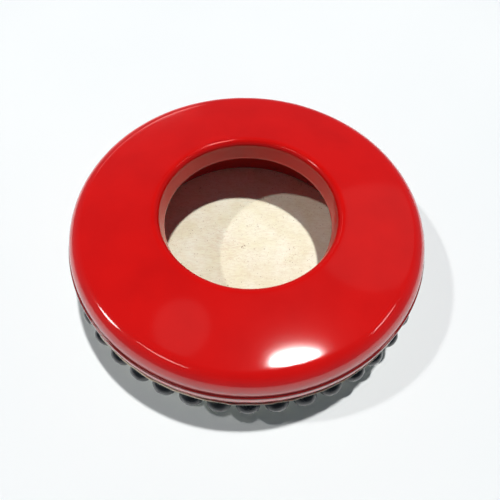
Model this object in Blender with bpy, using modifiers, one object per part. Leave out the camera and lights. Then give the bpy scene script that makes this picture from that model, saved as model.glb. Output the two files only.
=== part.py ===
"""A single-headed hand drum lying on its head.

One turned wooden shell with a round opening in its back, one rawhide head wrapped round the rim,
and one row of dome-headed tacks that pin the head to the shell. Metres, +Z up. The origin is on the
drum's axis, on the outer face of the head.
"""
import math

import bpy
from mathutils import Euler, Matrix

# Fit between pieces that touch.
GAP = 0.0003

# Shell: the outer shape of the turned wood.
DRUM_RADIUS = 0.120            # widest point of the side
DRUM_HEIGHT = 0.054            # outer face of the head to the top of the back
CROWN = 0.0005                 # rise of the back from its shoulder to the opening
SHOULDER_ROUND = 0.010         # section radius of the shoulder
SIDE_ROUND = 0.0225            # section radius of the bulging side
SHOULDER_START = math.radians(37)   # slope at which the side runs into the shoulder
SIDE_TAPER = math.radians(20)  # inward lean of the side below the bulge
BAND_STEP = 0.0017             # how far the band that takes the head stands out from the side above
BAND_SLOPE = math.radians(11)  # slope of the side at the band's upper edge
BAND_ROUND = 0.0008            # rounding of that edge
RIM_ROUND = 0.004              # rounding of the rim that the head wraps

# Shell: the hollow, and the opening in the back that its neck leaves.
WALL_THICKNESS = 0.037         # widest point of the side to the hollow
NECK_OVERHANG = 0.0236         # how far the neck reaches in over the hollow
CAVITY_RADIUS = DRUM_RADIUS - WALL_THICKNESS
OPENING_RADIUS = CAVITY_RADIUS - NECK_OVERHANG
LIP_ROUND = 0.0045
NECK_DEPTH = 0.0152            # thickness of the wood at the opening
NECK_TAPER = math.radians(10)  # the neck narrows inwards
CAVITY_ROUND = 0.010
SEAT_ROUND = 0.0015            # rounding of the inner edge under the head

# Tacks: forged domes with a tapered shank, driven square to the side.
TACK_COUNT = 44
TACK_HEIGHT = 0.0196           # middle of the row, on the wood, above the face of the head
TACK_SPACING = 0.002           # between neighbouring heads
TACK_DOME_HEIGHT = 0.0061
SHANK_RADIUS = 0.0013
SHANK_LENGTH = 0.014
SHANK_POINT = 0.004

# Head: rawhide, wrapped round the rim and up the side, trimmed just past the tacks.
SKIN_THICKNESS = 0.0013
EDGE_PAST_TACKS = 0.0099       # middle of the row to the trimmed edge
SKIN_EDGE_HEIGHT = TACK_HEIGHT + EDGE_PAST_TACKS

# Mesh resolution.
FACETS_PER_TACK = 2
TACK_SIDES = 12
DOME_RINGS = 3
HOLE_SIDES = 8
ARC_STEP = math.radians(16)

TURN_STEPS = TACK_COUNT * FACETS_PER_TACK
HALF_FACET = math.pi / TURN_STEPS


def clear_scene():
    """Remove every object, so that the script can be run again."""
    for old in list(bpy.data.objects):
        bpy.data.objects.remove(old, do_unlink=True)


def new_collection(name):
    """Add a collection to the scene."""
    group = bpy.data.collections.new(name)
    bpy.context.scene.collection.children.link(group)
    return group


def finish_material(name, colour, roughness, metallic):
    """A plain Principled material."""
    material = bpy.data.materials.new(name)
    material.use_nodes = True
    shader = material.node_tree.nodes["Principled BSDF"]
    shader.inputs["Base Color"].default_value = (*colour, 1.0)
    shader.inputs["Roughness"].default_value = roughness
    shader.inputs["Metallic"].default_value = metallic
    return material


def along(point, distance, slope):
    """The point at a distance from another one, in a direction of the profile plane."""
    return point[0] + distance * math.cos(slope), point[1] + distance * math.sin(slope)


def arc(centre, radius, start, end, step=ARC_STEP):
    """Points of an arc in the profile plane, at slopes from start to end."""
    count = max(2, math.ceil(abs(end - start) / step - 1e-6))
    points = []
    for index in range(count + 1):
        slope = start + (end - start) * index / count
        points.append(along(centre, radius, slope))
    return points


def turned(name, profile, closed, steps, turn, group, material):
    """A solid of revolution: a profile in the XZ plane with a Screw modifier."""
    count = len(profile)
    edges = [(index, index + 1) for index in range(count - 1)]
    if closed:
        edges.append((count - 1, 0))
    mesh = bpy.data.meshes.new(name)
    mesh.from_pydata([(r, 0.0, z) for r, z in profile], edges, [])
    body = bpy.data.objects.new(name, mesh)
    group.objects.link(body)
    body.rotation_euler = Euler((0.0, 0.0, turn))
    screw = body.modifiers.new("Turn", "SCREW")
    screw.axis = "Z"
    screw.angle = math.tau
    screw.steps = steps
    screw.render_steps = steps
    screw.use_merge_vertices = True
    screw.merge_threshold = 0.00001
    screw.use_smooth_shade = True
    mesh.materials.append(material)
    return body


class Side:
    """The outer side of the shell, or the same line moved outwards by a distance.

    Heights are always those of the bare side; the moved line lies square to them.
    """

    def __init__(self, offset=0.0):
        lift = SIDE_ROUND - SHOULDER_ROUND
        shoulder_z = DRUM_HEIGHT - CROWN - SHOULDER_ROUND
        self.offset = offset
        self.radius = SIDE_ROUND + offset
        self.bulge = (DRUM_RADIUS - SIDE_ROUND, shoulder_z - lift * math.sin(SHOULDER_START))
        self.shoulder = (self.bulge[0] + lift * math.cos(SHOULDER_START), shoulder_z)
        self.taper_top = self.bulge[1] - SIDE_ROUND * math.sin(SIDE_TAPER)

    def slope_at(self, height):
        """Slope at a height: on the bulge, or on the straight taper below it."""
        if height < self.taper_top:
            return -SIDE_TAPER
        return math.asin((height - self.bulge[1]) / SIDE_ROUND)

    def point(self, height):
        """Radius and height of the moved line, square to the bare side at a height."""
        slope = self.slope_at(height)
        fall = max(0.0, self.taper_top - height)
        radius = self.bulge[0] + self.radius * math.cos(slope) - fall * math.tan(SIDE_TAPER)
        return radius, self.bulge[1] + self.radius * math.sin(slope) - fall

    def down_from(self, height):
        """Points from a height down to the top of the taper, or the one point if it is lower."""
        if height <= self.taper_top:
            return [self.point(height)]
        return arc(self.bulge, self.radius, self.slope_at(height), -SIDE_TAPER)

    def rim(self, floor, rounding):
        """Arc that joins the taper to a flat floor."""
        height = floor + rounding
        top_radius, top_height = self.point(self.taper_top)
        taper_radius = top_radius - (top_height - height) * math.tan(SIDE_TAPER)
        centre = (taper_radius - rounding / math.cos(SIDE_TAPER), height)
        return arc(centre, rounding, -SIDE_TAPER, -math.pi / 2)


def shell_profile():
    """The whole section of the shell, from the shoulder down the side and round to the lip."""
    side = Side()
    floor = SKIN_THICKNESS + GAP
    ceiling = DRUM_HEIGHT - NECK_DEPTH
    neck_radius = OPENING_RADIUS - (NECK_DEPTH - LIP_ROUND) * math.tan(NECK_TAPER)
    lip_centre = (OPENING_RADIUS + LIP_ROUND, DRUM_HEIGHT - LIP_ROUND)
    corner = (CAVITY_RADIUS - CAVITY_ROUND, ceiling - CAVITY_ROUND)
    seat = (CAVITY_RADIUS + SEAT_ROUND, floor + SEAT_ROUND)
    upper_room = DRUM_RADIUS - BAND_STEP - side.shoulder[0] - SHOULDER_ROUND * math.cos(SHOULDER_START)
    upper_round = upper_room / (1 - math.cos(SHOULDER_START))
    upper = along(side.shoulder, SHOULDER_ROUND - upper_round, SHOULDER_START)
    band = along(side.bulge, SIDE_ROUND - BAND_ROUND, BAND_SLOPE)

    profile = arc(side.shoulder, SHOULDER_ROUND, math.pi / 2, SHOULDER_START)
    profile += arc(upper, upper_round, SHOULDER_START, 0.0)[1:]
    profile += arc(band, BAND_ROUND, math.pi / 2, BAND_SLOPE, math.pi / 6)
    profile += arc(side.bulge, SIDE_ROUND, BAND_SLOPE, -SIDE_TAPER)[1:]
    profile += side.rim(floor, RIM_ROUND)
    profile += arc(seat, SEAT_ROUND, -math.pi / 2, -math.pi, math.pi / 4)
    profile += arc(corner, CAVITY_ROUND, 0.0, math.pi / 2, math.pi / 8)
    profile.append((neck_radius, ceiling))
    profile += arc(lip_centre, LIP_ROUND, math.pi, math.pi / 2, math.pi / 8)
    return profile


def skin_profile():
    """The head as an open section: inner face, inner side, trimmed edge, outer side, outer face."""
    inner = Side(GAP)
    outer = Side(GAP + SKIN_THICKNESS)
    inner_rim = inner.rim(SKIN_THICKNESS, RIM_ROUND + GAP)
    outer_rim = outer.rim(0.0, RIM_ROUND + GAP + SKIN_THICKNESS)
    profile = [(0.0, SKIN_THICKNESS)]
    profile += inner_rim[::-1] + inner.down_from(SKIN_EDGE_HEIGHT)[::-1]
    profile += outer.down_from(SKIN_EDGE_HEIGHT) + outer_rim
    profile.append((0.0, 0.0))
    return profile


def tack_head_radius():
    """Half the pitch of the row, less half the space between two heads."""
    row_radius = Side(GAP + SKIN_THICKNESS + GAP).point(TACK_HEIGHT)[0]
    return row_radius * math.tan(math.pi / TACK_COUNT) - TACK_SPACING / 2


def tack_profile():
    """Dome, flat underside, shank and point, from the crown down."""
    head_radius = tack_head_radius()
    points = []
    points.append((0.0, TACK_DOME_HEIGHT))
    for index in range(1, DOME_RINGS + 1):
        angle = math.pi / 2 * (1 - index / DOME_RINGS)
        points.append((head_radius * math.cos(angle), TACK_DOME_HEIGHT * math.sin(angle)))
    points.append((SHANK_RADIUS, 0.0))
    points.append((SHANK_RADIUS, SHANK_POINT - SHANK_LENGTH))
    points.append((0.0, -SHANK_LENGTH))
    return points


def tack_place(index):
    """Place and heading of a tack: on the head's outer side, square to it."""
    underside = Side(GAP + SKIN_THICKNESS + GAP)
    lean = -underside.slope_at(TACK_HEIGHT)
    angle = math.tau * index / TACK_COUNT - math.pi / 2
    radius, height = underside.point(TACK_HEIGHT)
    place = (radius * math.cos(angle), radius * math.sin(angle), height)
    return place, Euler((0.0, math.pi / 2 + lean, angle))


def make_tacks(group, material):
    """The row of tacks, which share one mesh."""
    first = turned("tack_01", tack_profile(), False, TACK_SIDES, 0.0, group, material)
    tacks = [first]
    for index in range(1, TACK_COUNT):
        tack = first.copy()
        tack.name = f"tack_{index + 1:02d}"
        group.objects.link(tack)
        tacks.append(tack)
    for index, tack in enumerate(tacks):
        tack.location, tack.rotation_euler = tack_place(index)


def make_hole_cutter(group):
    """One drill per tack, joined into a single cutter for the shell and the head."""
    depth = SHANK_LENGTH + GAP
    overshoot = TACK_DOME_HEIGHT
    drills = []
    for index in range(TACK_COUNT):
        bpy.ops.mesh.primitive_cylinder_add(
            vertices=HOLE_SIDES,
            radius=(SHANK_RADIUS + GAP) / math.cos(math.pi / HOLE_SIDES),
            depth=depth + overshoot,
        )
        drill = bpy.context.object
        drill.data.transform(Matrix.Translation((0.0, 0.0, (overshoot - depth) / 2)))
        drill.location, drill.rotation_euler = tack_place(index)
        drills.append(drill)
    bpy.ops.object.select_all(action="DESELECT")
    for drill in drills:
        drill.select_set(True)
    bpy.context.view_layer.objects.active = drills[0]
    bpy.ops.object.join()
    cutter = drills[0]
    cutter.name = "tack_hole_cutter"
    for home in list(cutter.users_collection):
        home.objects.unlink(cutter)
    group.objects.link(cutter)
    cutter.hide_render = True
    cutter.display_type = "WIRE"
    return cutter


def drill_holes(body, cutter):
    """Cut the tack holes out of a body."""
    cut = body.modifiers.new("Tack holes", "BOOLEAN")
    cut.operation = "DIFFERENCE"
    cut.solver = "EXACT"
    cut.object = cutter


clear_scene()
drum = new_collection("hand_drum")
cutters = new_collection("cutters")

red_lacquer = finish_material("red_lacquer", (0.60, 0.012, 0.010), 0.12, 0.0)
rawhide = finish_material("rawhide", (0.80, 0.72, 0.58), 0.60, 0.0)
black_iron = finish_material("black_iron", (0.012, 0.013, 0.014), 0.25, 0.6)

shell = turned("shell", shell_profile(), True, TURN_STEPS, HALF_FACET, drum, red_lacquer)
skin = turned("drum_skin", skin_profile(), False, TURN_STEPS, HALF_FACET, drum, rawhide)
make_tacks(drum, black_iron)
tack_holes = make_hole_cutter(cutters)
drill_holes(shell, tack_holes)
drill_holes(skin, tack_holes)
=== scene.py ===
"""A single-headed hand drum, red lacquered, lying on its head with the open back up."""
import math
import random

import bmesh
import bpy
import numpy as np
from mathutils import Euler, Matrix, Vector, noise


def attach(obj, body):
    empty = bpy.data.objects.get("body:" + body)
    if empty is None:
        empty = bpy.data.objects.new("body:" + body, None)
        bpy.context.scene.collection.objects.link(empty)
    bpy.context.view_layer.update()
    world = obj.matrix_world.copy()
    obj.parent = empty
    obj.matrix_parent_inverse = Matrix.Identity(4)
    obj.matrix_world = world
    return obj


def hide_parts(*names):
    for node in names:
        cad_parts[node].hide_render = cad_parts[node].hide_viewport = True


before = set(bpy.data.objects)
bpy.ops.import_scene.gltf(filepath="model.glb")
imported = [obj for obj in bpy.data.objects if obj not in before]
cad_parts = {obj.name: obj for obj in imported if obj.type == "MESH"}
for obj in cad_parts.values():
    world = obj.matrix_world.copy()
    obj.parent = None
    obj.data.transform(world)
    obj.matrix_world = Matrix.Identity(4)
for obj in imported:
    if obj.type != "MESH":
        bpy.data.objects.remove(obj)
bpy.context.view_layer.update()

# ---------------------------------------------------------------------------------------------
# Shell. One ring of turned wood: a bulging side with a low raised band that takes the head, a
# rounded shoulder, an almost flat back and a round opening whose thick neck hangs over the hollow.
# Bright red lacquer covers all of it, with several polished coats outside; in the hollow the red is
# darker, as painted shade, and rougher.
# ---------------------------------------------------------------------------------------------
FIT = 0.0003                # gap left between pieces that touch
DRUM_RADIUS = 0.120
DRUM_HEIGHT = 0.054
BACK_CROWN = 0.0005
SHOULDER_ROUND = 0.010
SIDE_ROUND = 0.0225
SHOULDER_START = math.radians(37)
SIDE_TAPER = math.radians(20)
BAND_STEP = 0.0017          # how far the band stands out from the side above it
BAND_SLOPE = math.radians(11)
BAND_ROUND = 0.0008
RIM_ROUND = 0.004
WALL_THICKNESS = 0.037      # from the widest line of the side to the hollow
HOLLOW_RADIUS = DRUM_RADIUS - WALL_THICKNESS
HOLLOW_ROUND = 0.010
NECK_OVERHANG = 0.0236      # how far the neck reaches in over the hollow, at the lip
OPENING_RADIUS = HOLLOW_RADIUS - NECK_OVERHANG
LIP_ROUND = 0.0045
NECK_DEPTH = 0.0152
NECK_TAPER = math.radians(10)
NECK_CORNER = 0.0006
SEAT_ROUND = 0.0015
HIDE_THICKNESS = 0.0013
SHELL_STEPS = 352           # points round the shell
RING_REACH = 0.0018         # furthest apart that its rings of points are
ARC_STEP = math.radians(4)
SHOULDER_STEP = math.radians(3)
SMALL_ROUND_STEP = math.radians(15)
NECK_CORNER_STEP = math.radians(30)
ON_AXIS = 1e-9              # a radius below this is a single point
LACQUER_UNEVEN = 0.00007
LACQUER_WAVE = 26.0


def arc(centre, radius, start, end, step=ARC_STEP):
    """Points of an arc in the section plane, at slopes from start to end."""
    count = max(3, math.ceil(abs(end - start) / step))
    slopes = [start + (end - start) * index / count for index in range(count + 1)]
    return [(centre[0] + radius * math.cos(s), centre[1] + radius * math.sin(s)) for s in slopes]


class Side:
    """The outer side of the shell, or the same line moved outwards by a distance."""

    def __init__(self, offset=0.0):
        lift = SIDE_ROUND - SHOULDER_ROUND
        shoulder_z = DRUM_HEIGHT - BACK_CROWN - SHOULDER_ROUND
        self.radius = SIDE_ROUND + offset
        self.bulge = (DRUM_RADIUS - SIDE_ROUND, shoulder_z - lift * math.sin(SHOULDER_START))
        self.shoulder = (self.bulge[0] + lift * math.cos(SHOULDER_START), shoulder_z)
        self.taper_top = self.bulge[1] - SIDE_ROUND * math.sin(SIDE_TAPER)

    def slope_at(self, height):
        """Slope at a height: on the bulge, or on the straight taper below it."""
        if height < self.taper_top:
            return -SIDE_TAPER
        return math.asin((height - self.bulge[1]) / SIDE_ROUND)

    def point(self, height):
        """Radius and height of the moved line, square to the bare side at a height."""
        slope = self.slope_at(height)
        fall = max(0.0, self.taper_top - height)
        radius = self.bulge[0] + self.radius * math.cos(slope) - fall * math.tan(SIDE_TAPER)
        return radius, self.bulge[1] + self.radius * math.sin(slope) - fall

    def rim(self, floor, rounding):
        """Arc that joins the taper to a flat floor."""
        height = floor + rounding
        top_radius, top_height = self.point(self.taper_top)
        taper_radius = top_radius - (top_height - height) * math.tan(SIDE_TAPER)
        centre = (taper_radius - rounding / math.cos(SIDE_TAPER), height)
        return arc(centre, rounding, -SIDE_TAPER, -math.pi / 2)


def ringed(points, reach):
    """The same section with extra points, so that no two are further apart than reach."""
    dense = [points[0]]
    for start, end in zip(points, points[1:]):
        count = max(1, math.ceil(math.dist(start, end) / reach))
        for index in range(1, count + 1):
            share = index / count
            dense.append((start[0] + (end[0] - start[0]) * share,
                          start[1] + (end[1] - start[1]) * share))
    return dense


def turned_mesh(name, section, closed, steps, shaping):
    """A closed surface turned from a section; shaping moves its points off the true circle.

    A closed section is a ring's. The other kind starts and ends on the axis.
    """
    angles = np.arange(steps) * math.tau / steps
    body = bmesh.new()
    rings = []
    for radius, height in section:
        if radius < ON_AXIS:
            rings.append([body.verts.new((0.0, 0.0, height))])
            continue
        ring = []
        for angle in angles:
            place = Vector((radius * math.cos(angle), radius * math.sin(angle), height))
            ring.append(body.verts.new(shaping(place, angle)))
        rings.append(ring)
    pairs = list(zip(rings, rings[1:]))
    if closed:
        pairs.append((rings[-1], rings[0]))
    for lower, upper in pairs:
        for index in range(steps):
            following = (index + 1) % steps
            if len(lower) == 1:
                body.faces.new((lower[0], upper[index], upper[following]))
            elif len(upper) == 1:
                body.faces.new((lower[index], upper[0], lower[following]))
            else:
                body.faces.new((lower[index], upper[index], upper[following], lower[following]))
    bmesh.ops.recalc_face_normals(body, faces=body.faces)
    mesh = bpy.data.meshes.new(name)
    body.to_mesh(mesh)
    body.free()
    mesh.shade_smooth()
    piece = bpy.data.objects.new(name, mesh)
    bpy.context.scene.collection.objects.link(piece)
    return piece


def along(point, distance, slope):
    """The point at a distance from another one, in a direction of the section plane."""
    return point[0] + distance * math.cos(slope), point[1] + distance * math.sin(slope)


def shell_section():
    """The whole section of the shell, from the shoulder round to the lip, as a closed line."""
    side = Side()
    floor = HIDE_THICKNESS + FIT
    ceiling = DRUM_HEIGHT - NECK_DEPTH
    neck_radius = OPENING_RADIUS - (NECK_DEPTH - LIP_ROUND) * math.tan(NECK_TAPER)
    corner = (HOLLOW_RADIUS - HOLLOW_ROUND, ceiling - HOLLOW_ROUND)
    seat = (HOLLOW_RADIUS + SEAT_ROUND, floor + SEAT_ROUND)
    edge = (neck_radius + NECK_CORNER, ceiling + NECK_CORNER)
    lip = (OPENING_RADIUS + LIP_ROUND, DRUM_HEIGHT - LIP_ROUND)
    # Above the band the side is set back, on a round that meets the shoulder's.
    upper_room = DRUM_RADIUS - BAND_STEP - side.shoulder[0] - SHOULDER_ROUND * math.cos(SHOULDER_START)
    upper_round = upper_room / (1 - math.cos(SHOULDER_START))
    upper = along(side.shoulder, SHOULDER_ROUND - upper_round, SHOULDER_START)
    band = along(side.bulge, SIDE_ROUND - BAND_ROUND, BAND_SLOPE)
    back_slope = math.atan(BACK_CROWN / (side.shoulder[0] - lip[0]))
    section = arc(side.shoulder, SHOULDER_ROUND, math.pi / 2 - back_slope, SHOULDER_START, SHOULDER_STEP)
    section += arc(upper, upper_round, SHOULDER_START, 0.0, SHOULDER_STEP)[1:]
    section += arc(band, BAND_ROUND, math.pi / 2, BAND_SLOPE, SMALL_ROUND_STEP)
    section += arc(side.bulge, SIDE_ROUND, BAND_SLOPE, -SIDE_TAPER)[1:]
    section += side.rim(floor, RIM_ROUND)
    section += arc(seat, SEAT_ROUND, -math.pi / 2, -math.pi, SMALL_ROUND_STEP)
    section += arc(corner, HOLLOW_ROUND, 0.0, math.pi / 2)
    section += arc(edge, NECK_CORNER, 3 * math.pi / 2, math.pi, NECK_CORNER_STEP)
    section += arc(lip, LIP_ROUND, math.pi, math.pi / 2 - back_slope)
    section.append(section[0])
    return ringed(section, RING_REACH)[:-1]


def lacquered(place, angle):
    """Slow hand-polished unevenness, less than a tenth of a millimetre."""
    lift = LACQUER_UNEVEN * noise.noise(place * LACQUER_WAVE)
    return place + Vector((lift * math.cos(angle), lift * math.sin(angle), lift))


class Level:
    """An output socket of a node tree; arithmetic on one that holds a number adds Math nodes."""

    def __init__(self, owner, socket):
        self.owner = owner
        self.socket = socket

    def maths(self, operation, first, second):
        return self.owner.node("Math", {"operation": operation}, {0: first, 1: second})

    def __add__(self, other):
        return self.maths("ADD", self, other)

    def __radd__(self, other):
        return self.maths("ADD", other, self)

    def __sub__(self, other):
        return self.maths("SUBTRACT", self, other)

    def __rsub__(self, other):
        return self.maths("SUBTRACT", other, self)

    def __mul__(self, other):
        return self.maths("MULTIPLY", self, other)

    def __rmul__(self, other):
        return self.maths("MULTIPLY", other, self)


class NodeTree:
    """The nodes of a material or of the world."""

    def __init__(self, tree):
        self.tree = tree

    def give(self, node, sockets):
        """Set or link a node's sockets."""
        for name, value in sockets.items():
            if isinstance(value, Level):
                self.tree.links.new(value.socket, node.inputs[name])
            else:
                node.inputs[name].default_value = value

    def node(self, kind, settings, sockets, output=0):
        """Add a node: its settings first, then the values or links of its sockets."""
        made = self.tree.nodes.new("ShaderNode" + kind)
        for name, value in settings.items():
            setattr(made, name, value)
        self.give(made, sockets)
        return Level(self, made.outputs[output])


class Finish(NodeTree):
    """A material made of nodes round one Principled shader."""

    def __init__(self, name, constants):
        self.material = bpy.data.materials.new(name)
        self.material.use_nodes = True
        super().__init__(self.material.node_tree)
        self.shader = self.tree.nodes["Principled BSDF"]
        self.give(self.shader, constants)
        self.place = self.node("TexCoord", {}, {}, "Object")

    def stretched(self, stretch):
        """The place on the piece, with each axis multiplied by a number."""
        return self.node("VectorMath", {"operation": "MULTIPLY"}, {0: self.place, 1: stretch})

    def reach(self, axes):
        """Distance from the origin, counted only along the axes given as 1."""
        return self.node("VectorMath", {"operation": "LENGTH"}, {0: self.stretched(axes)}, "Value")

    def cloud(self, scale, detail, place=None, distortion=0.0):
        """Soft noise, at the place on the piece or at another one."""
        return self.node("TexNoise", {}, {
            "Vector": place or self.place,
            "Scale": scale,
            "Detail": detail,
            "Distortion": distortion,
        })

    def rise(self, level, low, high):
        """A mask that grows from 0 at a low level to 1 at a high one."""
        return self.node("MapRange", {}, {"Value": level, "From Min": low, "From Max": high})

    def fade(self, level, near, far, most=1.0, **settings):
        """A mask that falls from its most at a near level to 0 at a far one."""
        return self.node("MapRange", settings, {
            "Value": level,
            "From Min": near,
            "From Max": far,
            "To Min": most,
            "To Max": 0.0,
        })

    def spots(self, scale, detail, low, high):
        """A 0 to 1 mask from soft noise; low and high are the noise levels of its ends."""
        return self.rise(self.cloud(scale, detail), low, high)

    def relief(self, strength, depth, height):
        """Fine relief for the Normal socket; its depth is in metres."""
        return self.node("Bump", {}, {"Strength": strength, "Distance": depth, "Height": height})

    def blend(self, share, first, second):
        """Mix two colours, given as three numbers or as a colour socket."""
        colours = [c if isinstance(c, Level) else (*c, 1.0) for c in (first, second)]
        return self.node("Mix", {"data_type": "RGBA"}, {0: share, 6: colours[0], 7: colours[1]}, 2)

    def wear(self, piece, slot):
        """Put the finish on a piece. The slot is not used."""
        piece.data.materials.clear()
        piece.data.materials.append(self.material)


LACQUER_RED = (0.650, 0.0036, 0.0022)
LACQUER_DEEP = (0.590, 0.0026, 0.0016)
LACQUER_DUST = (0.60, 0.030, 0.022)
# Darker red of the hollow: painted shade.
LACQUER_HOLLOW_SHADE = (0.400, 0.0060, 0.0040)
# Near-black red for the ledge above the band: painted shade.
LACQUER_LEDGE_SHADE = (0.085, 0.0040, 0.0030)
DUST_SHARE = 0.5
LEDGE_SHADE_SHARE = 0.9
HANDLED_SHARE = 0.55
HOLLOW_MARGIN = 0.001
HOLLOW_FADE = 0.003
LEDGE_HEIGHT = Side().bulge[1] + SIDE_ROUND * math.sin(BAND_SLOPE)
LEDGE_MARGIN = 0.0001
LEDGE_FADE = 0.0004
WALL_MARGIN = 0.0004
WALL_FADE = 0.0010
HANDLED_FROM = OPENING_RADIUS + LIP_ROUND * 0.8
HANDLED_TO = OPENING_RADIUS + LIP_ROUND * 1.4

lacquer = Finish("polished_red_lacquer", {
    "Coat Roughness": 0.075,
    "Coat IOR": 1.72,
    "Specular IOR Level": 0.08,
})
cloudy = lacquer.spots(scale=34.0, detail=3.0, low=0.35, high=0.68)
rubbed = lacquer.spots(scale=14.0, detail=2.0, low=0.42, high=0.70)
dusty = lacquer.spots(scale=1500.0, detail=1.0, low=0.71, high=0.77)
from_axis = lacquer.reach((1.0, 1.0, 0.0))
above_head = lacquer.reach((0.0, 0.0, 1.0))
# The hollow's red is darkened, as painted shade, and its lacquer is rougher, so duller than the outside.
ceiling_height = DRUM_HEIGHT - NECK_DEPTH
below_neck = lacquer.fade(above_head, ceiling_height, ceiling_height + NECK_CORNER * 2)
in_hollow = lacquer.fade(from_axis, HOLLOW_RADIUS + HOLLOW_MARGIN,
                         HOLLOW_RADIUS + HOLLOW_MARGIN + HOLLOW_FADE)
painted_shade_and_dull_hollow = below_neck * in_hollow
# Painted shade darkens the ledge above the band that takes the head, standing for the shade of the
# crevice there.
over_band = lacquer.rise(above_head, LEDGE_HEIGHT - LEDGE_MARGIN - LEDGE_FADE,
                         LEDGE_HEIGHT - LEDGE_MARGIN)
under_wall = lacquer.fade(above_head, LEDGE_HEIGHT + WALL_MARGIN,
                          LEDGE_HEIGHT + WALL_MARGIN + WALL_FADE)
painted_ledge_shade = over_band * under_wall * (1.0 - in_hollow)
# Hands have dulled the top coat on the lip and the neck.
handled = lacquer.fade(from_axis, HANDLED_FROM, HANDLED_TO, HANDLED_SHARE)

red = lacquer.blend(cloudy, LACQUER_RED, LACQUER_DEEP)
red = lacquer.blend(dusty * rubbed * DUST_SHARE, red, LACQUER_DUST)
# Painted shade on the ledge above the band.
red = lacquer.blend(painted_ledge_shade * LEDGE_SHADE_SHARE, red, LACQUER_LEDGE_SHADE)
# Painted shade: the red in the hollow is darkened.
red = lacquer.blend(painted_shade_and_dull_hollow, red, LACQUER_HOLLOW_SHADE)
peel = lacquer.cloud(scale=620.0, detail=1.0)
swell = lacquer.cloud(scale=90.0, detail=2.0)
lacquer.give(lacquer.shader, {
    "Base Color": red,
    "Coat Weight": 1.0 - handled,
    "Roughness": 0.30 + rubbed * 0.14 + cloudy * 0.05 + painted_shade_and_dull_hollow * 0.2,
    "Normal": lacquer.relief(0.5, 0.00006, swell * 1.6 + peel * 0.16),
})

turned_shell = turned_mesh("turned_shell", shell_section(), True, SHELL_STEPS, lacquered)
lacquer.wear(turned_shell, "red_lacquer")
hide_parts("shell")
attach(turned_shell, "root")

# ---------------------------------------------------------------------------------------------
# Head. One rawhide, soaked, pulled over the front of the shell, wrapped up the side and nailed,
# then dried tight. It puckers between the tacks, and its edge is trimmed by hand above them.
# ---------------------------------------------------------------------------------------------
TACK_COUNT = sum(name.startswith("tack_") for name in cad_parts)
TACK_HEIGHT = 0.0196
EDGE_PAST_TACKS = 0.0099    # from the middle of the row of tacks to the trimmed edge
HIDE_EDGE = TACK_HEIGHT + EDGE_PAST_TACKS
HIDE_STEPS = TACK_COUNT * 12
HIDE_REACH = 0.0022
PUCKER_REACH = 0.004        # how far below the row of tacks the puckers start
PUCKER_LIFT = 0.0006        # how far they stand out at the edge
PUCKER_AT_TACKS = 0.35      # the share of it that is left at a tack
PUCKER_EVEN = 0.6           # the share that every pucker has
PUCKER_FOLDED = 0.9         # what the folds add to it
PUCKER_BIAS = 0.2           # a fold further inwards than this adds nothing
FOLD_WAVE = 17.0
FOLD_SHIFT = Vector((0.0, 7.7, 1.0))
EDGE_WANDER = 0.0007        # how far the trimmed edge goes up and down
EDGE_FOLDED = 0.55          # how much of that follows the folds
EDGE_BETWEEN = 0.35         # how much of it rises between the tacks
EDGE_THIN = 0.45            # the share of the thickness that is pared off at the edge
WANDER_WAVE = 5.0
WANDER_SHIFT = Vector((3.1, 0.4, 0.0))
FACE_HOLLOW = 0.00022       # how far the face has dried inwards
FACE_MARGIN = 0.012         # flat border of the face, inside the bulge's own centre line
FACE_STEEPNESS = 5.0        # how soon the hollow is full, inwards from that border
FACE_EVEN = 0.55            # the share of it that is the same all over
FACE_WAVE = 38.0
MARK_PLACE = (-0.0026, 0.0011, HIDE_THICKNESS)
MARK_RADIUS = 0.0036
STAIN_PLACE = (-0.0170, 0.0010, HIDE_THICKNESS)
STAIN_RADIUS = 0.021


def hide_section():
    """Inner face, inner side, trimmed edge, outer side and outer face of the hide."""
    inner = Side(FIT)
    outer = Side(FIT + HIDE_THICKNESS)
    top_slope = inner.slope_at(HIDE_EDGE)
    inner_side = arc(inner.bulge, inner.radius, -SIDE_TAPER, top_slope)
    outer_side = arc(outer.bulge, outer.radius, top_slope, -SIDE_TAPER)
    section = [(0.0, HIDE_THICKNESS)]
    section += inner.rim(HIDE_THICKNESS, RIM_ROUND + FIT)[::-1]
    section += inner_side
    section += outer_side
    section += outer.rim(0.0, RIM_ROUND + FIT + HIDE_THICKNESS)
    section.append((0.0, 0.0))
    return ringed(section, HIDE_REACH)


def dried(place, angle):
    """Puckers between the tacks, a hand-trimmed edge and a face that has dried a little hollow."""
    side = Side()
    radius = math.hypot(place.x, place.y)
    radial = Vector((math.cos(angle), math.sin(angle), 0.0))
    pucker_foot = TACK_HEIGHT - PUCKER_REACH
    face_radius = side.bulge[0] - FACE_MARGIN
    if place.z > pucker_foot and radius > HOLLOW_RADIUS:
        share = min(1.0, (place.z - pucker_foot) / (HIDE_EDGE - pucker_foot))
        between = 0.5 - 0.5 * math.cos(TACK_COUNT * (angle + math.pi / 2))
        wander = noise.noise(radial * WANDER_WAVE + WANDER_SHIFT)
        fold = noise.noise(radial * FOLD_WAVE + FOLD_SHIFT)
        out = PUCKER_LIFT * share ** 2 * (PUCKER_AT_TACKS + (1.0 - PUCKER_AT_TACKS) * between)
        out *= PUCKER_EVEN + PUCKER_FOLDED * max(0.0, fold + PUCKER_BIAS)
        up = EDGE_WANDER * share * (wander + EDGE_FOLDED * fold + EDGE_BETWEEN * between)
        inner = side.point(place.z)[0] + FIT
        thinner = EDGE_THIN * share ** 3 * max(0.0, radius - inner)
        return place + radial * (out - thinner) + Vector((0.0, 0.0, up))
    if place.z < 2 * HIDE_THICKNESS and radius < face_radius:
        share = min(1.0, (1.0 - radius / face_radius) * FACE_STEEPNESS)
        uneven = FACE_EVEN + (1.0 - FACE_EVEN) * noise.noise(place * FACE_WAVE)
        return place + Vector((0.0, 0.0, FACE_HOLLOW * share * uneven))
    return place


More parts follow.
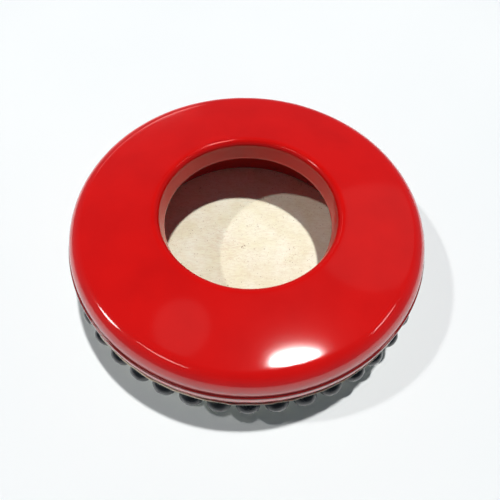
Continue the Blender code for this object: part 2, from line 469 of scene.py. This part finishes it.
HIDE_CREAM = (0.900, 0.885, 0.670)
HIDE_PALE = (0.970, 0.975, 0.815)
HIDE_TAN = (0.600, 0.455, 0.285)
HIDE_BROWN = (0.270, 0.150, 0.070)
HIDE_BLUSH = (0.640, 0.470, 0.340)
FIBRE_STRETCH = (1.0, 3.2, 1.0)
SCRATCH_STRETCH = (1.0, 0.45, 1.0)
SCRATCH_CROWDING = 0.30
STAIN_CORE = 0.2            # the share of its radius where the stain is even
STAIN_RAGGED = 0.012        # how far the fibres draw its edge out
PEPPER_SHARE = 0.60
PORE_SHARE = 0.60
SCRATCH_SHARE = 0.85

hide = Finish("dried_rawhide", {
    "Specular IOR Level": 0.30,
    "Sheen Weight": 0.08,
})
mottle = hide.spots(scale=55.0, detail=5.0, low=0.36, high=0.64)
blotch = hide.spots(scale=16.0, detail=3.0, low=0.45, high=0.70)
fibre = hide.cloud(scale=260.0, detail=5.0, place=hide.stretched(FIBRE_STRETCH), distortion=0.6)
fibres = hide.rise(fibre, 0.40, 0.68)
follicle = hide.node("TexVoronoi", {}, {"Vector": hide.place, "Scale": 420.0}, "Distance")
pores = hide.fade(follicle, 0.05, 0.30)
scattered = hide.spots(scale=240.0, detail=2.0, low=0.58, high=0.64)
peppered = hide.spots(scale=1150.0, detail=2.0, low=0.60, high=0.70)
clustered = hide.spots(scale=42.0, detail=3.0, low=0.40, high=0.66)
# A cluster of scratches near the middle, and a wide tan stain beside it.
from_mark = hide.node("VectorMath", {"operation": "DISTANCE"}, {0: hide.place, 1: MARK_PLACE}, "Value")
near_mark = hide.fade(from_mark, 0.0, MARK_RADIUS)
scratch_cloud = hide.cloud(scale=1300.0, detail=1.0, place=hide.stretched(SCRATCH_STRETCH))
scratched = hide.rise(scratch_cloud + near_mark * SCRATCH_CROWDING, 0.725, 0.765)
from_stain = hide.node("VectorMath", {"operation": "DISTANCE"}, {0: hide.place, 1: STAIN_PLACE}, "Value")
stain = hide.fade(from_stain + (0.5 - fibre) * STAIN_RAGGED, STAIN_RADIUS * STAIN_CORE, STAIN_RADIUS,
                  interpolation_type="SMOOTHSTEP")

cream = hide.blend(mottle, HIDE_CREAM, HIDE_PALE)
cream = hide.blend(blotch * 0.16 + fibres * 0.24, cream, HIDE_TAN)
cream = hide.blend(stain * 0.07 + stain * fibres * 0.20, cream, HIDE_BLUSH)
cream = hide.blend(peppered * clustered * PEPPER_SHARE, cream, HIDE_TAN)
cream = hide.blend(pores * scattered * PORE_SHARE, cream, HIDE_BROWN)
cream = hide.blend(scratched * SCRATCH_SHARE, cream, HIDE_BROWN)
hide.give(hide.shader, {
    "Base Color": cream,
    "Roughness": 0.52 + mottle * 0.14 + fibres * 0.06,
    "Normal": hide.relief(0.6, 0.00012, fibre * 0.7 + mottle * 0.5 - pores * 0.35),
})

stretched_head = turned_mesh("stretched_head", hide_section(), False, HIDE_STEPS, dried)
hide.wear(stretched_head, "rawhide")
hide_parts("drum_skin")
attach(stretched_head, "root")

# ---------------------------------------------------------------------------------------------
# Tacks. Forty-four forged iron nails with domed heads, painted black. Each is driven by hand
# through the hide into the shell, so the heads differ a little in shape, turn and lean.
# ---------------------------------------------------------------------------------------------
HEAD_RADIUS = 0.0074
HEAD_HEIGHT = 0.0061
BRIM_HEIGHT = 0.0006
BRIM_ROUND = 0.00022
SHANK_RADIUS = 0.0013
SHANK_LENGTH = 0.014
SHANK_POINT = 0.004
SHANK_FILLET = 0.00039      # where the shank widens under the head
UNDERSIDE_RING = 0.00444    # radius of a ring of points across the flat underside
HEAD_SIDES = 32
DOME_RINGS = 12
HAMMERED = 0.00016
HAMMER_WAVE = 230.0
HAMMER_SHIFT = Vector((3.7, 1.9, 0.6))
OVAL = 0.012                # how far a head is from round, as a share of its radius
LEAN_SPREAD = math.radians(1.4)
DRIFT_SPREAD = 0.00028
TACK_SEED = 11


def tack_section():
    """Dome, thin brim, flat underside, shank and point, from the crown down."""
    section = [(0.0, HEAD_HEIGHT)]
    for index in range(1, DOME_RINGS + 1):
        lean = math.pi / 2 * index / DOME_RINGS
        section.append((HEAD_RADIUS * math.sin(lean),
                        BRIM_HEIGHT + (HEAD_HEIGHT - BRIM_HEIGHT) * math.cos(lean)))
    section.append((HEAD_RADIUS, BRIM_ROUND))
    section.append((HEAD_RADIUS - BRIM_ROUND, 0.0))
    section.append((UNDERSIDE_RING, 0.0))
    section.append((SHANK_RADIUS + SHANK_FILLET, 0.0))
    section.append((SHANK_RADIUS, -SHANK_FILLET))
    section.append((SHANK_RADIUS, SHANK_POINT - SHANK_LENGTH))
    section.append((0.0, -SHANK_LENGTH))
    return section


def forged(seed):
    """Hammer marks on a head: a shaping that differs with the seed."""
    def shaping(place, angle):
        if place.z < 0.0:
            return place
        depth = HAMMERED * (0.5 + noise.noise(place * HAMMER_WAVE + HAMMER_SHIFT * seed))
        oval = 1.0 + OVAL * math.cos(2 * angle + seed)
        pull = oval * (1.0 - depth / HEAD_RADIUS)
        share = min(1.0, place.z / BRIM_HEIGHT)
        return Vector((place.x * pull, place.y * pull, place.z - share * depth))

    return shaping


IRON_BLACK = (0.0100, 0.0130, 0.0180)
IRON_WORN = (0.0400, 0.0340, 0.0290)
WORN_SHARE = 0.7

iron = Finish("black_painted_iron", {
    "Coat Weight": 0.35,
    "Coat Roughness": 0.12,
    "Specular IOR Level": 0.35,
})
worn = iron.spots(scale=420.0, detail=4.0, low=0.55, high=0.72)
grimy = iron.spots(scale=120.0, detail=3.0, low=0.40, high=0.66)
pitted = iron.cloud(scale=1400.0, detail=3.0)
dented = iron.cloud(scale=330.0, detail=1.0)
iron.give(iron.shader, {
    "Base Color": iron.blend(worn * WORN_SHARE, IRON_BLACK, IRON_WORN),
    "Roughness": 0.22 + grimy * 0.16 + worn * 0.10,
    "Metallic": worn * 0.5,
    "Normal": iron.relief(0.5, 0.00010, dented + pitted * 0.12),
})

hand = random.Random(TACK_SEED)
underside = Side(FIT + HIDE_THICKNESS + FIT)
tack_radius, tack_height = underside.point(TACK_HEIGHT)
for index in range(TACK_COUNT):
    tack = turned_mesh(f"dome_tack_{index + 1:02d}", tack_section(), False, HEAD_SIDES, forged(index))
    angle = math.tau * index / TACK_COUNT - math.pi / 2
    angle += hand.uniform(-DRIFT_SPREAD, DRIFT_SPREAD) / tack_radius
    spin = Matrix.Rotation(hand.uniform(0.0, math.tau), 4, "Z")
    lean = Matrix.Rotation(hand.uniform(-LEAN_SPREAD, LEAN_SPREAD), 4, "X")
    heading = Euler((0.0, math.pi / 2 - underside.slope_at(TACK_HEIGHT), angle)).to_matrix().to_4x4()
    place = Matrix.Translation((tack_radius * math.cos(angle), tack_radius * math.sin(angle),
                                tack_height + hand.uniform(-DRIFT_SPREAD, DRIFT_SPREAD)))
    tack.data.transform(place @ heading @ lean @ spin)
    iron.wear(tack, "black_iron")
    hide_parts(f"tack_{index + 1:02d}")
    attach(tack, "root")

# ---------------------------------------------------------------------------------------------
# Table. A plain pale sheet under the drum, which isn't part of it.
# ---------------------------------------------------------------------------------------------
TABLE_WIDTH = 6.0
TABLE_DROP = 0.0002         # keeps the table clear of the head's face
PAPER_COOL = (0.865, 0.900, 0.920)
PAPER_PALE = (0.885, 0.915, 0.930)

paper = Finish("pale_table", {"Specular IOR Level": 0.25})
shade = paper.spots(scale=3.0, detail=2.0, low=0.35, high=0.65)
tooth = paper.cloud(scale=900.0, detail=2.0)
paper.give(paper.shader, {
    "Base Color": paper.blend(shade, PAPER_COOL, PAPER_PALE),
    "Roughness": 0.62 + shade * 0.06,
    "Normal": paper.relief(0.2, 0.00005, tooth),
})
table_mesh = bpy.data.meshes.new("table")
half = TABLE_WIDTH / 2
table_mesh.from_pydata([(-half, -half, 0.0), (half, -half, 0.0), (half, half, 0.0), (-half, half, 0.0)],
                       [], [(0, 1, 2, 3)])
table_mesh.materials.append(paper.material)
table = bpy.data.objects.new("table", table_mesh)
table.location.z = -TABLE_DROP
bpy.context.scene.collection.objects.link(table)

# ---------------------------------------------------------------------------------------------
# Light. Two soft lamps light the drum from high above it and from the left. The others show only
# as sheen on glossy faces, as windows and pale walls do. A weak light comes from the whole room.
# A lamp's bearing is in degrees from +X towards +Y, and its rise is its angle above the table.
# ---------------------------------------------------------------------------------------------
LAMPS = [
    # name, bearing, rise, distance, width, length, turn, watts, what it shows on
    ("high_lamp", 62.0, 75.2, 4.0, 0.22, 0.20, 0, 133.0, "matt"),
    ("left_lamp", 172.8, 51.6, 4.0, 0.20, 0.16, 0, 41.0, "matt"),
    ("high_sheen", 56.6, 74.3, 3.8, 0.56, 0.21, 43, 11.0, "gloss"),
    ("left_sheen", -172.7, 42.5, 4.0, 0.72, 0.62, 45, 18.0, "gloss"),
    ("back_sheen", 111.9, 36.6, 3.0, 1.30, 0.09, 6, 0.90, "gloss"),
    ("front_sheen", -146.2, 58.5, 3.0, 1.06, 0.08, 0, 2.8, "gloss"),
    ("right_sheen", 3.8, 52.3, 3.0, 0.80, 0.08, 0, 1.7, "gloss"),
    ("window_sheen", 118.6, 70.3, 3.0, 0.44, 0.44, 0, 0.075, "gloss"),
    ("door_sheen", 55.1, 51.9, 3.0, 0.90, 0.90, 0, 0.22, "gloss"),
]
LAMP_WHITE = (1.0, 0.985, 0.96)
AIR_COLOUR = (0.88, 1.02, 1.22, 1.0)
AIR_ROUND = 0.165           # strength of the air's light round the drum, up to LOW_AIR
AIR_ABOVE = 0.050           # its strength above the drum, from HIGH_AIR up
LOW_AIR = 0.15
HIGH_AIR = 0.88

for name, bearing, rise, distance, width, length, turn, watts, shows_on in LAMPS:
    light = bpy.data.lights.new(name, "AREA")
    light.shape = "ELLIPSE"
    light.size = width
    light.size_y = length
    light.energy = watts
    light.color = LAMP_WHITE
    lamp = bpy.data.objects.new(name, light)
    level = Vector((math.cos(math.radians(bearing)), math.sin(math.radians(bearing)), 0.0))
    upwards = Vector((0.0, 0.0, 1.0))
    towards = level * math.cos(math.radians(rise)) + upwards * math.sin(math.radians(rise))
    lamp.location = towards * distance
    facing = towards.to_track_quat("Z", "Y").to_matrix() @ Matrix.Rotation(math.radians(turn), 3, "Z")
    lamp.rotation_euler = facing.to_euler()
    lamp.visible_diffuse = shows_on == "matt"
    lamp.visible_glossy = shows_on == "gloss"
    bpy.context.scene.collection.objects.link(lamp)

air = bpy.data.worlds.new("air")
air.use_nodes = True
room = NodeTree(air.node_tree)
towards_air = room.node("TexCoord", {}, {}, "Generated")
air_height = room.node("SeparateXYZ", {}, {"Vector": towards_air}, "Z")
room.give(air.node_tree.nodes["Background"], {
    "Color": AIR_COLOUR,
    "Strength": room.node("MapRange", {}, {
        "Value": air_height,
        "From Min": LOW_AIR,
        "From Max": HIGH_AIR,
        "To Min": AIR_ROUND,
        "To Max": AIR_ABOVE,
    }),
})
bpy.context.scene.world = air
bpy.context.scene.view_settings.view_transform = "Standard"

# ---------------------------------------------------------------------------------------------
# Camera. It looks down at the back of the drum from the front.
# ---------------------------------------------------------------------------------------------
EYE = Vector((-0.005529, -0.160499, 0.257693))
EYE_PITCH = math.radians(58.27)
EYE_TURN = 0.048
EYE_ROLL = 0.052
LENS = 28.08
SENSOR_WIDTH = 36.0
NEAREST_SEEN = 0.01

ahead = Vector((math.sin(EYE_TURN) * math.cos(EYE_PITCH),
                math.cos(EYE_TURN) * math.cos(EYE_PITCH),
                -math.sin(EYE_PITCH)))
level = Vector((math.cos(EYE_TURN), -math.sin(EYE_TURN), 0.0))
upright = level.cross(ahead)
right = math.cos(EYE_ROLL) * level + math.sin(EYE_ROLL) * upright
up = math.cos(EYE_ROLL) * upright - math.sin(EYE_ROLL) * level
lens = bpy.data.cameras.new("camera")
lens.sensor_width = SENSOR_WIDTH
lens.lens = LENS
lens.clip_start = NEAREST_SEEN
camera = bpy.data.objects.new("camera", lens)
camera.matrix_world = Matrix((
    (right.x, up.x, -ahead.x, EYE.x),
    (right.y, up.y, -ahead.y, EYE.y),
    (right.z, up.z, -ahead.z, EYE.z),
    (0.0, 0.0, 0.0, 1.0),
))
bpy.context.scene.collection.objects.link(camera)
bpy.context.scene.camera = camera
